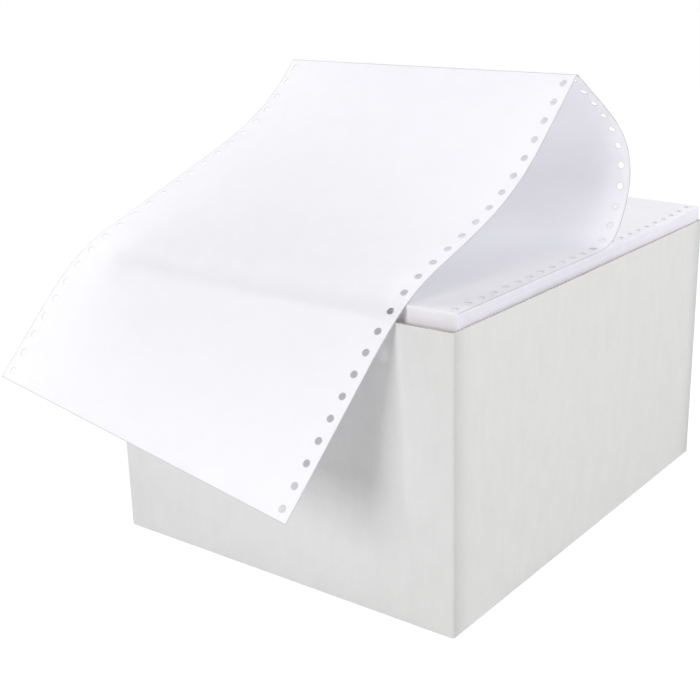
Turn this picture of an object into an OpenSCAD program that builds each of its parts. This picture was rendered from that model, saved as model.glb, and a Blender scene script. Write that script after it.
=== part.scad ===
// Continuous form paper in its open carton. One strip of paper is folded to and fro into a stack. Its second
// leaf curls up off the stack to a raised fold, and its first leaf hangs from that fold over the carton's front.
// The middle of the carton's underside is the origin, the front faces -Y and up is +Z. All sizes are in mm.

/* [Paper strip] */
// Width of the strip, from side edge to side edge
form_w = 241.3; // [180:0.1:380]
// Feed holes along one side of one leaf
holes_per_leaf = 24; // [20:1:28]
// Distance between neighbouring feed holes along the strip
hole_pitch = 12.7; // [11:0.1:15]
// Diameter of a feed hole
hole_d = 4; // [2:0.1:6]
// From the strip's side edge to the middle of its feed holes
hole_inset = 6.35; // [4:0.05:10]
// Thickness of the two raised leaves
leaf_t = 0.3; // [0.2:0.05:0.6]

/* [Folded stack] */
// Height of the stack, from the carton's floor to the top of the uppermost leaf
stack_h = 176; // [60:1:320]
// Height of a bundle of leaves that lies a little out of line with the next bundle
bundle_h = 11; // [4:0.5:30]
// How far the bundles lie out of line
bundle_slip = 0.15; // [0:0.05:0.25]

/* [Curl of the second leaf] */
// Length of leaf in the curl's lower part, which lifts off the stack
curl_low_l = 43; // [30:1:60]
// Angle of the curl's lower part
curl_low_turn = 56.5; // [45:0.5:65]
// How far the lower part's lines lean from square across the strip
curl_low_skew = 2; // [0:0.5:5]
// Length of leaf in the curl's upper part, which ends below the raised fold
curl_top_l = 86; // [60:1:95]
// Angle of the curl's upper part
curl_top_turn = 87; // [75:0.5:100]
// How far the upper part's lines lean from square across the strip
curl_top_skew = 6; // [3:0.5:9]
// Straight run between the curl's two parts, at the strip's edge where it is shortest
curl_run = 0.5; // [0.5:0.5:10]
// Straight run between the curl and the raised fold, at the edge where it is shortest
fold_run = 2; // [1:0.5:20]

/* [First leaf, hanging over the front] */
// Length of leaf in the upper bend, which levels the leaf out
upper_l = 105; // [70:1:115]
// Angle of the upper bend
upper_turn = 26; // [15:0.5:32]
// How far the upper bend's lines lean from square across the strip
upper_skew = -8.5; // [-10:0.5:-4]
// Length of leaf in the lower bend, which turns the leaf down
lower_l = 81; // [70:1:96]
// Angle of the lower bend
lower_turn = 27.5; // [15:0.5:35]
// How far the lower bend's lines lean from square across the strip
lower_skew = 9.5; // [4:0.5:10]
// Straight runs before the upper bend and between the two bends, at the edge where they are shortest
hang_run = 0.5; // [0.5:0.5:4]
// Clearance under the hanging leaf, over the nearer of the stack's front edge and the carton's rim
edge_clear = 0.3; // [0.2:0.1:6]

/* [Carton] */
// Thickness of the board
board_t = 1.5; // [0.8:0.1:4]
// Outer radius of the carton's upright corners
corner_r = 2.5; // [1:0.1:4]
// How far the stack stands above the carton's rim
stack_proud = 8; // [4:0.5:30]
// Room between the stack and the carton's right wall
right_gap = 0.4; // [0.3:0.1:10]
// Room between the stack and the glued tab inside the carton's left wall
left_gap = 1.7; // [0.3:0.1:12]
// Room between the stack and the carton's front wall
front_gap = 6; // [0.5:0.1:14]
// Room between the stack and the carton's rear wall
rear_gap = 0.4; // [0.3:0.1:10]
// Width of the glued tab inside the rear left corner
tab_w = 32; // [15:1:50]
// How far the glued tab stops short of the rim
tab_drop = 4; // [1:0.5:20]
// Gap between the edges of the two outer bottom flaps
flap_seam = 1; // [0.5:0.1:4]
// How far right of the middle the outer bottom flaps meet
seam_offset = 2; // [1:0.5:10]
// How far the ends of the outer bottom flaps stop short of the front and rear faces
flap_short = 1; // [0.5:0.1:3]

/* [Hidden] */

// Sides of a full circle
$fn = 48;
// Overlap that joins two solids, and overrun that lets a cut clear a face
touch = 0.05;
overrun = 1;
// Short arcs that a smooth bend is made of
ARCS = 10;
// Most that one facet of the raised leaves turns, and the least length of a facet
FACET_TURN = 4;
FACET_L = 0.2;
// Length of paper in the raised fold, which rounds the crease
FOLD_L = 0.8;
// Where each bend is tightest: 0 is its middle, below 0 nearer its start, above 0 nearer its end
CURL_LOW_LEAN = 1;
CURL_TOP_LEAN = -1;
UPPER_LEAN = -0.7;
LOWER_LEAN = -1;
// Angles between which the raised fold's own angle is sought, and the number of halvings
FOLD_TURNS = [50, 120];
HALVINGS = 14;
// A hole whose leaf has risen this far off the stack is cut on its own, square to the leaf
LIFTED = 0.8;

leaf_l = holes_per_leaf * hole_pitch;
half_w = form_w / 2;
hole_x = half_w - hole_inset;
floor_z = 2 * board_t;
stack_top = floor_z + stack_h;
inner_w = form_w + board_t + left_gap + right_gap;
inner_l = leaf_l + front_gap + rear_gap;
carton_w = inner_w + 2 * board_t;
carton_l = inner_l + 2 * board_t;
carton_h = stack_top - stack_proud;

// The board's creases round outside by no more than the board leaves room for, and inside they clear the stack
outer_r = min(corner_r, 2 * board_t);
inner_r = min(outer_r / 2, min(right_gap, rear_gap) - bundle_slip);

// The strip's frame: across from its middle line, along from the stack's front fold, up from the stack's top
strip_origin = [carton_w / 2 - board_t - right_gap - half_w, -carton_l / 2 + board_t + front_gap, stack_top];

// Extra run, along the middle line, that keeps bends of two different skews apart at the strip's edges
function apart(skew_a, skew_b) = half_w * abs(tan(skew_a) - tan(skew_b));

// Where each bend starts and ends along the strip's middle line
curl_top_end = leaf_l - fold_run - apart(curl_top_skew, 0);
curl_top_start = curl_top_end - curl_top_l / cos(curl_top_skew);
curl_low_end = curl_top_start - curl_run - apart(curl_top_skew, curl_low_skew);
curl_low_start = curl_low_end - curl_low_l / cos(curl_low_skew);
upper_start = leaf_l + hang_run + apart(upper_skew, 0);
upper_end = upper_start + upper_l / cos(upper_skew);
lower_start = upper_end + hang_run + apart(upper_skew, lower_skew);

function flatten(lists) = [for (list = lists) for (item = list) item];
function total(list, i = 0) = i == len(list) ? 0 : list[i] + total(list, i + 1);

// Share of a smooth bend's turn that falls on each of its arcs
function shares(lean) =
    let (raw = [for (i = [0 : ARCS - 1]) let (x = (i + 0.5) / ARCS) sin(180 * x) * exp(lean * (2 * x - 1))])
    raw / total(raw);

// The arcs of a smooth bend, each as [start on the middle line, length, turn, skew]
function smooth_bend(start, length, turn, skew, lean) =
    let (share = shares(lean))
    [for (i = [0 : ARCS - 1]) [start + i * length / ARCS / cos(skew), length / ARCS, turn * share[i], skew]];

// The strip's bends in order, for a given angle of the raised fold
curl_low = smooth_bend(curl_low_start, curl_low_l, curl_low_turn, curl_low_skew, CURL_LOW_LEAN);
curl_top = smooth_bend(curl_top_start, curl_top_l, curl_top_turn, curl_top_skew, CURL_TOP_LEAN);
upper = smooth_bend(upper_start, upper_l, -upper_turn, upper_skew, UPPER_LEAN);
lower = smooth_bend(lower_start, lower_l, lower_turn, lower_skew, LOWER_LEAN);
function bends(fold_turn) = [curl_low, curl_top, [[leaf_l - FOLD_L / 2, FOLD_L, fold_turn, 0]], upper, lower];

// Moves point p of the strip, [across, along, up], as one arc bends it. flat is [across, along] on the flat strip.
function bent(p, flat, arc) =
    let (c = cos(arc[3]),
         s = sin(arc[3]),
         past = (flat.y - arc[0]) * c + flat.x * s)
    past <= 0 ? p :
    let (inside = min(past, arc[1]),
         angle = arc[2] * inside / arc[1],
         radius = arc[1] / (arc[2] * PI / 180),
         ahead = (p.y - arc[0]) * c + p.x * s,
         aside = p.x * c - (p.y - arc[0]) * s,
         rest = ahead - inside,
         forward = (radius - p.z) * sin(angle) + rest * cos(angle),
         upward = radius * (1 - cos(angle)) + rest * sin(angle) + p.z * cos(angle))
    [forward * s + aside * c, arc[0] + forward * c - aside * s, upward];

// The same for a list of arcs, from the last one back to the first
function bent_by(p, flat, arcs, i) = i < 0 ? p : bent_by(bent(p, flat, arcs[i]), flat, arcs, i - 1);

// Where a point of the strip lies, in the strip's frame: x across, y along and z above the flat strip
function on_strip(x, y, z, arcs) = bent_by([x, y, z], [x, y], arcs, len(arcs) - 1);

// Height above an edge at which one line along the hanging leaf's underside passes over it. The edge runs across
// the strip at the place y and the height z.
function height_over(edge, x, arcs) =
    let (line = [for (i = [0 : holes_per_leaf]) on_strip(x, leaf_l + max(i, 0.1) * hole_pitch, -leaf_t, arcs)],
         crossings = [for (i = [1 : holes_per_leaf])
             if (line[i - 1].y >= edge[0] && line[i].y < edge[0])
                 let (share = (line[i - 1].y - edge[0]) / (line[i - 1].y - line[i].y))
                 line[i - 1].z + share * (line[i].z - line[i - 1].z)])
    (len(crossings) == 0 ? 0 : crossings[0]) - edge[1];

// The stack's front edge and the carton's rim at its front face, and the leaf's least height over them
front_edges = [[0, 0], [-strip_origin.y - carton_l / 2, -stack_proud]];
function least_height(arcs) =
    min([for (edge = front_edges) for (x = [-half_w, 0, half_w]) height_over(edge, x, arcs)]);

// The raised fold closes until the hanging leaf passes both edges at its clearance
function settled_turn(low, high, steps) =
    let (middle = (low + high) / 2)
    steps == 0 ? middle :
    least_height(flatten(bends(middle))) > edge_clear ? settled_turn(middle, high, steps - 1) :
    settled_turn(low, middle, steps - 1);

fold_turn = settled_turn(FOLD_TURNS[0], FOLD_TURNS[1], HALVINGS);
strip_arcs = flatten(bends(fold_turn));

// The lines across the strip at which its facets meet, each as [place on the middle line, skew]. Paper bends only
// along straight lines, so these run straight from edge to edge on the bent strip too.
function arc_lines(arc) =
    let (count = max(1, min(ceil(abs(arc[2]) / FACET_TURN), round(arc[1] / FACET_L))))
    [for (i = [0 : count - 1]) [arc[0] + i / count * arc[1] / cos(arc[3]), arc[3]]];
function bend_lines(bend) =
    let (last = bend[len(bend) - 1])
    concat(flatten([for (arc = bend) arc_lines(arc)]), [[last[0] + last[1] / cos(last[3]), last[3]]]);
function line_end(line, x) = [x, line[0] - x * tan(line[1])];
lines = concat(
    [[0, 0]],
    [for (line = flatten([for (bend = bends(fold_turn)) bend_lines(bend)]))
        if (line[0] + half_w * abs(tan(line[1])) < 2 * leaf_l - FACET_L) line],
    [[2 * leaf_l, 0]]);

// Two triangles between four numbered corners, clockwise as seen from outside
function pair(a, b, c, d) = [[a, b, c], [a, c, d]];

// The second and the first leaf, one sheet from the stack's front fold to the strip's free end
module raised_leaves() {
    last = len(lines) - 1;
    corners = [[-half_w, 0], [half_w, 0], [half_w, -leaf_t], [-half_w, -leaf_t]];
    points = [for (line = lines) for (corner = corners)
        let (place = line_end(line, corner[0])) on_strip(place.x, place.y, corner[1], strip_arcs)];
    sides = [for (i = [0 : last - 1]) for (j = [0 : 3])
        let (a = 4 * i + j, b = 4 * i + (j + 1) % 4) pair(a, a + 4, b + 4, b)];
    ends = [pair(0, 1, 2, 3), pair(4 * last + 3, 4 * last + 2, 4 * last + 1, 4 * last)];
    polyhedron(points, flatten(concat(sides, ends)));
}

// The leaves below the second one, in bundles that lie slightly out of line as folded paper does
module folded_stack() {
    height = stack_h - leaf_t + touch;
    count = max(1, round(height / bundle_h));
    for (i = [0 : count - 1])
        translate([bundle_slip * sin(i * 137) - half_w, bundle_slip * sin(i * 83), i * height / count - stack_h])
            cube([form_w, leaf_l, height / count + (i < count - 1 ? touch : 0)]);
}

// Whether a feed hole's leaf has risen off the stack there
function is_lifted(side, y) = on_strip(side * hole_x, y, 0, strip_arcs).z >= LIFTED;

// Feed holes through the whole stack and, where the leaf still lies on it, through the leaf too
module stack_holes() {
    for (side = [-1, 1])
        for (i = [0 : holes_per_leaf - 1]) {
            y = (i + 0.5) * hole_pitch;
            above = is_lifted(side, y) ? touch - leaf_t / 2 : LIFTED + overrun;
            translate([side * hole_x, y, -stack_h - overrun])
                cylinder(d = hole_d, h = stack_h + overrun + above);
        }
}

// Feed holes through the leaves where they have left the stack, square to the leaf
module leaf_holes() {
    for (side = [-1, 1])
        for (i = [0 : 2 * holes_per_leaf - 1]) {
            y = (i + 0.5) * hole_pitch;
            mouth = on_strip(side * hole_x, y, leaf_t, strip_arcs);
            foot = on_strip(side * hole_x, y, -2 * leaf_t, strip_arcs);
            axis = mouth - foot;
            if (i >= holes_per_leaf || is_lifted(side, y))
                translate(foot)
                    rotate([0, acos(axis.z / norm(axis)), atan2(axis.y, axis.x)])
                        cylinder(d = hole_d, h = norm(axis));
        }
}

module form_web() {
    color("whitesmoke")
        translate(strip_origin)
            difference() {
                union() {
                    folded_stack();
                    raised_leaves();
                }
                stack_holes();
                leaf_holes();
            }
}

// A block with rounded upright corners, centred on the origin and standing on it
module rounded_block(width, length, height, radius) {
    linear_extrude(height)
        union() {
            square([width - 2 * radius, length], center = true);
            square([width, length - 2 * radius], center = true);
            for (x = [-1, 1])
                for (y = [-1, 1])
                    translate([x * (width / 2 - radius), y * (length / 2 - radius)])
                        circle(radius);
        }
}

// Four walls over two layers of bottom flaps. The inner pair folds in from front and rear, the outer pair from the
// sides. All are as deep as half the carton's width, or less where the inner pair would meet.
module carton() {
    inner_gap = max(carton_l - carton_w, flap_seam);
    color("gainsboro")
        union() {
            difference() {
                rounded_block(carton_w, carton_l, carton_h, outer_r);
                translate([0, 0, floor_z])
                    rounded_block(inner_w, inner_l, carton_h, inner_r);
                translate([-inner_w / 2, -inner_gap / 2, board_t])
                    cube([inner_w, inner_gap, board_t + overrun]);
                translate([seam_offset - flap_seam / 2, -inner_l / 2, -overrun])
                    cube([flap_seam, inner_l, board_t + overrun]);
                for (end = [0, 1])
                    mirror([0, end, 0])
                        translate([-carton_w, carton_l / 2 - flap_short, -overrun])
                            cube([2 * carton_w, flap_short + overrun, board_t + overrun]);
            }
            corner_tab();
        }
}

// The tab that joins the blank's two ends, glued inside the left wall at the rear corner
module corner_tab() {
    translate([-inner_w / 2 - touch, inner_l / 2 - tab_w, floor_z - touch])
        cube([board_t + touch, tab_w + touch, carton_h - floor_z - tab_drop + touch]);
}

carton();
form_web();
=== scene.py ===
import math

import bmesh
import bpy
import numpy as np
from bpy.props import FloatProperty, FloatVectorProperty, IntProperty, PointerProperty
from bpy.types import Operator, Panel, PropertyGroup
from mathutils import Matrix, Vector


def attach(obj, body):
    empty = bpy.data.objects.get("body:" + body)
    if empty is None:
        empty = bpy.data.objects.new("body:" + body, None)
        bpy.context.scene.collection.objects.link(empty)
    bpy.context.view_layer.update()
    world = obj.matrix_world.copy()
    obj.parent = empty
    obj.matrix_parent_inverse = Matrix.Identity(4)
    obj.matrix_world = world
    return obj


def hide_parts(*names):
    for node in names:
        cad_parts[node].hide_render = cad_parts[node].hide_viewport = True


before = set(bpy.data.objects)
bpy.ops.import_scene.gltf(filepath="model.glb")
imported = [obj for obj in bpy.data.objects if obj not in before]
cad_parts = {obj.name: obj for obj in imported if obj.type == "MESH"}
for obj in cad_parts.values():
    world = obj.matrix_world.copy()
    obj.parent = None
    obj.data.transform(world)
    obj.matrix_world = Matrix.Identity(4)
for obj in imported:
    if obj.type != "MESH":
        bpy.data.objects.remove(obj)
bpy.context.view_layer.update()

bl_info = {
    "name": "Continuous Form Paper",
    "version": (1, 0, 0),
    "blender": (4, 5, 0),
    "location": "3D View > Sidebar > Form Paper",
    "description": "A stack of continuous form paper in its open carton, with two leaves pulled up",
    "category": "Object",
}

MM = 0.001
HOLE_SIDES = 32  # sides of a feed hole
CELL_STEPS = 8  # faces along one hole pitch
ARCS = 10  # short arcs in a smooth bend
HALVINGS = 14  # steps in finding the raised fold's angle
FOLD_RANGE = (50, 120)  # degrees between which that angle lies
MERGE = 0.02 * MM  # points closer than this are one
TOUCH = 0.01 * MM  # a point this near a face's end lies on it
LEVEL = 0.9  # a face whose normal rises by more than this is level
UPRIGHT = 0.5  # a face whose normal has less than this along an axis stands along it
SIDEWAYS = 0.7  # a face whose normal has more than this along the width is at a side
LONG_EDGE = 100 * MM  # an edge that runs further across than this is a layer's fold
CORNER_EDGE = 10 * MM  # an edge that rises by more than this is a corner of the walls
SHARP = 40  # degrees; an edge sharper than this stays sharp in the shading
FIRST_STEP = 0.1  # where the search along the hanging leaf begins, in hole pitches past the fold
THROUGH = 0.38  # part of the light that a raised leaf lets pass
WEAR_SHADE_W = 0.6 * MM  # width of the grey line along a leaf's edges: partly wear, partly painted shade
HOLE_WEAR_SHADE = 2.5  # how much narrower that line is round a hole
WEAR_SHADE_BLUE = 1.02  # how much bluer it is
CREASE_FRONT = 2 * MM  # reach of a crease's shade over front and rear
CREASE_SIDE = 22 * MM  # and over the side walls
CREASE_POWER = 2.3  # how fast it fades
LEAF_AIR = 0.04 * MM  # air under a leaf on the stack's top
CORE_AIR = 0.05 * MM  # air under the stack's core
CORE_LAP = 0.5 * MM  # how far the core reaches into the band of layers
FOLD_ROUND = 0.47  # part of a layer's height that its fold rounds
SLIP_TURNS = (137, 83)  # degrees that spread the bundles' slips evenly
SLIP_SEED = 7  # start of the random draws of the layers' slips
SLIP_PART = 0.6  # part of the layers' slip that a group, and each layer in it, has
GROUP_LAYERS = 6  # layers that slip together
PUFF_CUTS = 5  # cuts either way that let the upper layers lift
PUFF_FADE = 1.5  # how fast the lift fades with depth
WALL_ZONE = 3 * MM  # depth from the outside that counts as wall
BOW_FORWARD = 0.75  # below 1 the right wall bows most near the front
BOW_EASE = 1.5  # how gently the bow begins at the corners
BOW_ENDS = 0.5  # part of the bow that front and rear have
CORNER_STEPS = 6  # faces round an upright corner
WALL_CUTS = 25  # cuts that let a wall bow
CUT_CLEAR = 1 * MM  # room between these cuts and the wall's corners
OUTER_LIFT = 0.2 * MM  # height of the outer paper's lower edge
INNER_SIDE = 0.6  # part of a paper's thickness past which a face is on its inner side
FLUTE_STEPS = 8  # points in one wave of the board
FLUTE_FILL = 0.96  # part of the room between the liners that the waves take
FLUTE_SHORT = 0.1 * MM  # how far the waves stop short of the board's edges
FLAP_SHORT = 0.3 * MM  # how far the inner flaps stop short of the outside
FLAP_FOLD = 1 * MM  # an end face nearer the outside than this is a fold and not a cut
FLOOR_SIZE = 60
FLOOR_COLOUR = (0.65, 0.65, 0.65)
FLOOR_WHITE = 1.13  # white that the camera sees on the floor
FLOOR_PART = 0.85  # part of that white; the rest is the lit floor with its shadow
SKY_COLOUR = (1.0, 0.995, 0.985)
LAMP_AIM = Vector((0, -0.05, 0.12))


def length(name, text, default):
    """A size in metres that the user can change."""
    return FloatProperty(name=name, description=text, default=default, min=0, max=1,
                         subtype="DISTANCE", unit="LENGTH", precision=5)


def angle(name, text, degrees, low=-180, high=180):
    """An angle that the user can change, kept in radians."""
    return FloatProperty(name=name, description=text, default=math.radians(degrees), min=math.radians(low),
                         max=math.radians(high), subtype="ANGLE", unit="ROTATION")


def share(name, text, default, low=0.0, high=1.0):
    """A plain number that the user can change."""
    return FloatProperty(name=name, description=text, default=default, min=low, max=high)


def colour(name, text, value):
    """A colour that the user can change."""
    return FloatVectorProperty(name=name, description=text, default=value, size=3, min=0.0, max=1.0,
                               subtype="COLOR")


class PaperSizes(PropertyGroup):
    """The strip of paper: its leaves, its feed holes and the curve of its two raised leaves."""
    form_w: length("Width", "Width of the strip", 241.3 * MM)
    holes_per_leaf: IntProperty(name="Holes per leaf", description="Feed holes down one side of a leaf",
                                default=24, min=20, max=28)
    hole_pitch: length("Hole pitch", "Distance between neighbouring feed holes", 12.7 * MM)
    hole_d: length("Hole diameter", "Diameter of a feed hole", 4.0 * MM)
    hole_inset: length("Hole inset", "From the strip's edge to the middle of its holes", 6.35 * MM)
    leaf_t: length("Paper thickness", "Thickness of one leaf", 0.2 * MM)
    hang_t: length("Raised leaf depth", "Depth of the raised leaves where they pass an edge", 0.3 * MM)
    curl_low_l: length("Lower curl length", "Paper in the curl's lower part", 43 * MM)
    curl_low_turn: angle("Lower curl angle", "Angle of the curl's lower part", 56.5)
    curl_low_skew: angle("Lower curl lean", "Lean of the lower part's lines", 2)
    curl_low_lean: share("Lower curl shape", "Above 0 the bend is tighter near its end", 1, -2, 2)
    curl_top_l: length("Upper curl length", "Paper in the curl's upper part", 86 * MM)
    curl_top_turn: angle("Upper curl angle", "Angle of the curl's upper part", 87)
    curl_top_skew: angle("Upper curl lean", "Lean of the upper part's lines", 6)
    curl_top_lean: share("Upper curl shape", "Below 0 the bend is tighter near its start", -1, -2, 2)
    curl_run: length("Run in the curl", "Straight run between the curl's parts", 0.5 * MM)
    fold_run: length("Run to the fold", "Straight run between the curl and the raised fold", 2 * MM)
    fold_l: length("Fold length", "Paper that rounds the raised fold", 0.8 * MM)
    upper_l: length("Upper bend length", "Paper in the bend that levels the first leaf out", 105 * MM)
    upper_turn: angle("Upper bend angle", "Angle of that bend", 26)
    upper_skew: angle("Upper bend lean", "Lean of that bend's lines", -8.5)
    upper_lean: share("Upper bend shape", "Below 0 the bend is tighter near its start", -0.7, -2, 2)
    lower_l: length("Lower bend length", "Paper in the bend that turns the first leaf down", 81 * MM)
    lower_turn: angle("Lower bend angle", "Angle of that bend", 27.5)
    lower_skew: angle("Lower bend lean", "Lean of that bend's lines", 9.5)
    lower_lean: share("Lower bend shape", "Below 0 the bend is tighter near its start", -1, -2, 2)
    hang_run: length("Run between the bends", "Straight runs beside the first leaf's bends", 0.5 * MM)
    edge_clear: length("Edge clearance", "Room between the hanging leaf and the edges it passes", 0.3 * MM)


class StackSizes(PropertyGroup):
    """The folded stack below the raised leaves."""
    stack_h: length("Stack height", "From the carton's floor to the top of the uppermost leaf", 176 * MM)
    layer_h: length("Layer height", "Height of one folded pair of leaves with the air over it", 0.22 * MM)
    layer_air: length("Air", "Air between two folded pairs", 0.012 * MM)
    rim_w: length("Edge band", "Width of the band round the stack that is made of single layers", 3 * MM)
    bundle_h: length("Bundle height", "Height of a bundle of leaves that lies a little out of line", 11 * MM)
    bundle_slip: length("Bundle slip", "How far the bundles lie out of line", 0.08 * MM)
    layer_slip: length("Layer slip", "How far single layers lie out of line", 0.03 * MM)
    puff_edge: length("Puff at the side", "How far the rear end of the top lifts at its sides", 1.8 * MM)
    puff_middle: length("Puff in the middle", "How much further it lifts in the middle", 2.4 * MM)
    puff_l: length("Puffed length", "Length of the rear end that lifts", 70 * MM)
    puff_h: length("Puffed height", "Height of the upper layers that share the lift", 24 * MM)


class CartonSizes(PropertyGroup):
    """The open carton."""
    board_t: length("Board thickness", "Thickness of the corrugated board", 1.5 * MM)
    liner_t: length("Liner thickness", "Thickness of the board's outer and inner paper", 0.25 * MM)
    flute_t: length("Flute paper", "Thickness of the wavy paper between them", 0.16 * MM)
    flute_pitch: length("Flute pitch", "Distance between neighbouring waves", 3.4 * MM)
    corner_r: length("Corner radius", "Outer radius of the upright corners", 1.2 * MM)
    inner_r: length("Inner crease radius", "Inner radius of the upright corners", 0.25 * MM)
    stack_proud: length("Stack above rim", "How far the stack stands above the rim", 8 * MM)
    right_gap: length("Right gap", "Room between the stack and the right wall", 0.4 * MM)
    left_gap: length("Left gap", "Room between the stack and the glued tab", 1.7 * MM)
    front_gap: length("Front gap", "Room between the stack and the front wall", 6 * MM)
    rear_gap: length("Rear gap", "Room between the stack and the rear wall", 0.4 * MM)
    tab_w: length("Tab width", "Width of the glued tab in the rear left corner", 32 * MM)
    tab_drop: length("Tab drop", "How far the tab stops short of the rim", 4 * MM)
    flap_seam: length("Flap seam", "Gap between the two outer bottom flaps", 1 * MM)
    seam_offset: length("Seam offset", "How far right of the middle the outer flaps meet", 2 * MM)
    flap_short: length("Flap shortfall", "How far the outer flaps stop short of front and rear", 1 * MM)
    bow: length("Rim bow", "How far the long walls bow out at the rim", 0.8 * MM)


class Finishes(PropertyGroup):
    """Colours of the paper and the board."""
    paper: colour("Raised leaves", "Uncoated white paper of the raised leaves", (0.934, 0.946, 0.956))
    # painted bluish shade and painted light: the same paper as the raised leaves, made bluer and a little
    # brighter where it lies on the stack
    paper_stack_painted_tint: colour("Stack's top", "The same paper on the stack, a little bluer", (0.955, 0.950, 0.990))
    paper_through: colour("Light through paper", "Tint of light that passes a leaf", (0.980, 0.960, 1.0))
    paper_fold: colour("Folded edges", "The stack's front and rear", (0.965, 0.957, 0.99))
    # partly painted shade: the stack's sides are darker and bluer than its front and rear, partly the cut
    # edges' own greyer tone and partly painted shade of the sides
    paper_cut_shaded: colour("Cut edges", "The stack's sides", (0.835, 0.826, 0.90))
    # partly wear, partly painted shade: brightness of the grey line along a leaf's edges, raised fold and
    # holes
    edge_wear_shade: share("Edge wear", "Brightness of a single leaf at its worn cut edges", 0.62)
    liner: colour("White liner", "Outside of the board", (0.708, 0.708, 0.705))
    kraft: colour("Brown liner", "Inside of the board", (0.56, 0.50, 0.43))
    cut: colour("Board edge", "Cut edge of the board", (0.76, 0.75, 0.735))
    crease: share("Crease shade", "Brightness of the board at its upright creases", 0.80)


class StageSettings(PropertyGroup):
    """The camera, the floor and the lights."""
    lens: share("Focal length", "Focal length in millimetres on a 36 mm sensor", 62.62, 10, 300)
    azimuth: angle("Camera azimuth", "From the front towards the right", 37.758)
    elevation: angle("Camera elevation", "Above the horizon", 17.871)
    roll: angle("Camera roll", "Clockwise turn of the camera", 1.569)
    camera_at: FloatVectorProperty(name="Camera place", description="Where the camera stands", size=3,
                                   default=(0.43363, -0.64037, 0.34847), subtype="TRANSLATION",
                                   unit="LENGTH", precision=5)
    sky: share("Sky light", "Strength of the even light from all round", 0.34, 0, 3)
    key_light: share("Key light", "Power of the front softbox in watts", 23, 0, 500)
    side_light: share("Side light", "Power of the right softbox in watts", 22, 0, 500)
    edge_light: share("Edge light", "Power of the weak softbox at the front right in watts", 2.2, 0, 500)
    fill_light: share("Fill light", "Power of the left softbox in watts", 22, 0, 500)
    back_light: share("Back light", "Power of the softbox behind the object in watts", 6.5, 0, 500)


def paper():
    return bpy.context.scene.form_paper_sizes


def stack():
    return bpy.context.scene.form_stack_sizes


def carton():
    return bpy.context.scene.form_carton_sizes


# ---- Places that follow from the sizes ----

def leaf_l():
    return paper().holes_per_leaf * paper().hole_pitch


def half_w():
    return paper().form_w / 2


def floor_z():
    return 2 * carton().board_t


def stack_top():
    return floor_z() + stack().stack_h


def inner_size():
    c = carton()
    return paper().form_w + c.board_t + c.left_gap + c.right_gap, leaf_l() + c.front_gap + c.rear_gap


def outer_size():
    width, depth = inner_size()
    return width + 2 * carton().board_t, depth + 2 * carton().board_t


def carton_h():
    return stack_top() - carton().stack_proud


def strip_origin():
    """Where the strip's frame stands: its middle line, the stack's front fold, and the stack's top."""
    c = carton()
    width, depth = outer_size()
    return np.array([width / 2 - c.board_t - c.right_gap - half_w(), -depth / 2 + c.board_t + c.front_gap,
                     stack_top()])


def puffed(co):
    """Lifts the rear end of the stack's upper layers, most on the top and in the middle."""
    s = stack()
    origin = strip_origin()
    back = np.clip((co[:, 1] - origin[1] - leaf_l() + s.puff_l) / s.puff_l, 0, 1) ** 2
    across = 1 - np.clip(np.abs(co[:, 0] - origin[0]) / half_w(), 0, 1) ** 2
    level = np.clip((co[:, 2] - stack_top() + s.puff_h) / s.puff_h, 0, 1) ** PUFF_FADE
    moved = co.copy()
    moved[:, 2] += (s.puff_edge + s.puff_middle * across) * back * level
    return moved


# ---- How the strip bends ----

def smooth_bend(start, run, turn, skew, lean):
    """Short arcs that share a bend's turn, each as (start on the middle line, length, turn, skew)."""
    x = (np.arange(ARCS) + 0.5) / ARCS
    part = np.sin(np.pi * x) * np.exp(lean * (2 * x - 1))
    part = part / part.sum()
    return [(start + i * run / ARCS / math.cos(skew), run / ARCS, turn * part[i], skew) for i in range(ARCS)]


def strip_arcs(fold_turn):
    """All the strip's arcs in order, for one angle of the raised fold."""
    p = paper()

    def apart(a, b):
        return half_w() * abs(math.tan(a) - math.tan(b))

    curl_top_end = leaf_l() - p.fold_run - apart(p.curl_top_skew, 0)
    curl_top_start = curl_top_end - p.curl_top_l / math.cos(p.curl_top_skew)
    curl_low_end = curl_top_start - p.curl_run - apart(p.curl_top_skew, p.curl_low_skew)
    curl_low_start = curl_low_end - p.curl_low_l / math.cos(p.curl_low_skew)
    upper_start = leaf_l() + p.hang_run + apart(p.upper_skew, 0)
    upper_end = upper_start + p.upper_l / math.cos(p.upper_skew)
    lower_start = upper_end + p.hang_run + apart(p.upper_skew, p.lower_skew)
    return (smooth_bend(curl_low_start, p.curl_low_l, p.curl_low_turn, p.curl_low_skew, p.curl_low_lean)
            + smooth_bend(curl_top_start, p.curl_top_l, p.curl_top_turn, p.curl_top_skew, p.curl_top_lean)
            + [(leaf_l() - p.fold_l / 2, p.fold_l, fold_turn, 0.0)]
            + smooth_bend(upper_start, p.upper_l, -p.upper_turn, p.upper_skew, p.upper_lean)
            + smooth_bend(lower_start, p.lower_l, p.lower_turn, p.lower_skew, p.lower_lean))


def bent(flat, height, arcs):
    """Where points of the flat strip lie once it is bent. flat holds rows of (across, along)."""
    x, y = flat[:, 0], flat[:, 1]
    p = np.column_stack([x, y, np.broadcast_to(height, x.shape)])
    for start, run, turn, skew in reversed(arcs):
        c, s = math.cos(skew), math.sin(skew)
        past = (y - start) * c + x * s
        inside = np.clip(past, 0, run)
        a = turn * inside / run
        radius = run / turn
        ahead = (p[:, 1] - start) * c + p[:, 0] * s
        aside = p[:, 0] * c - (p[:, 1] - start) * s
        rest = ahead - inside
        forward = (radius - p[:, 2]) * np.sin(a) + rest * np.cos(a)
        upward = radius * (1 - np.cos(a)) + rest * np.sin(a) + p[:, 2] * np.cos(a)
        moved = np.column_stack([forward * s + aside * c, start + forward * c - aside * s, upward])
        p = np.where((past > 0)[:, None], moved, p)
    return p


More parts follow.
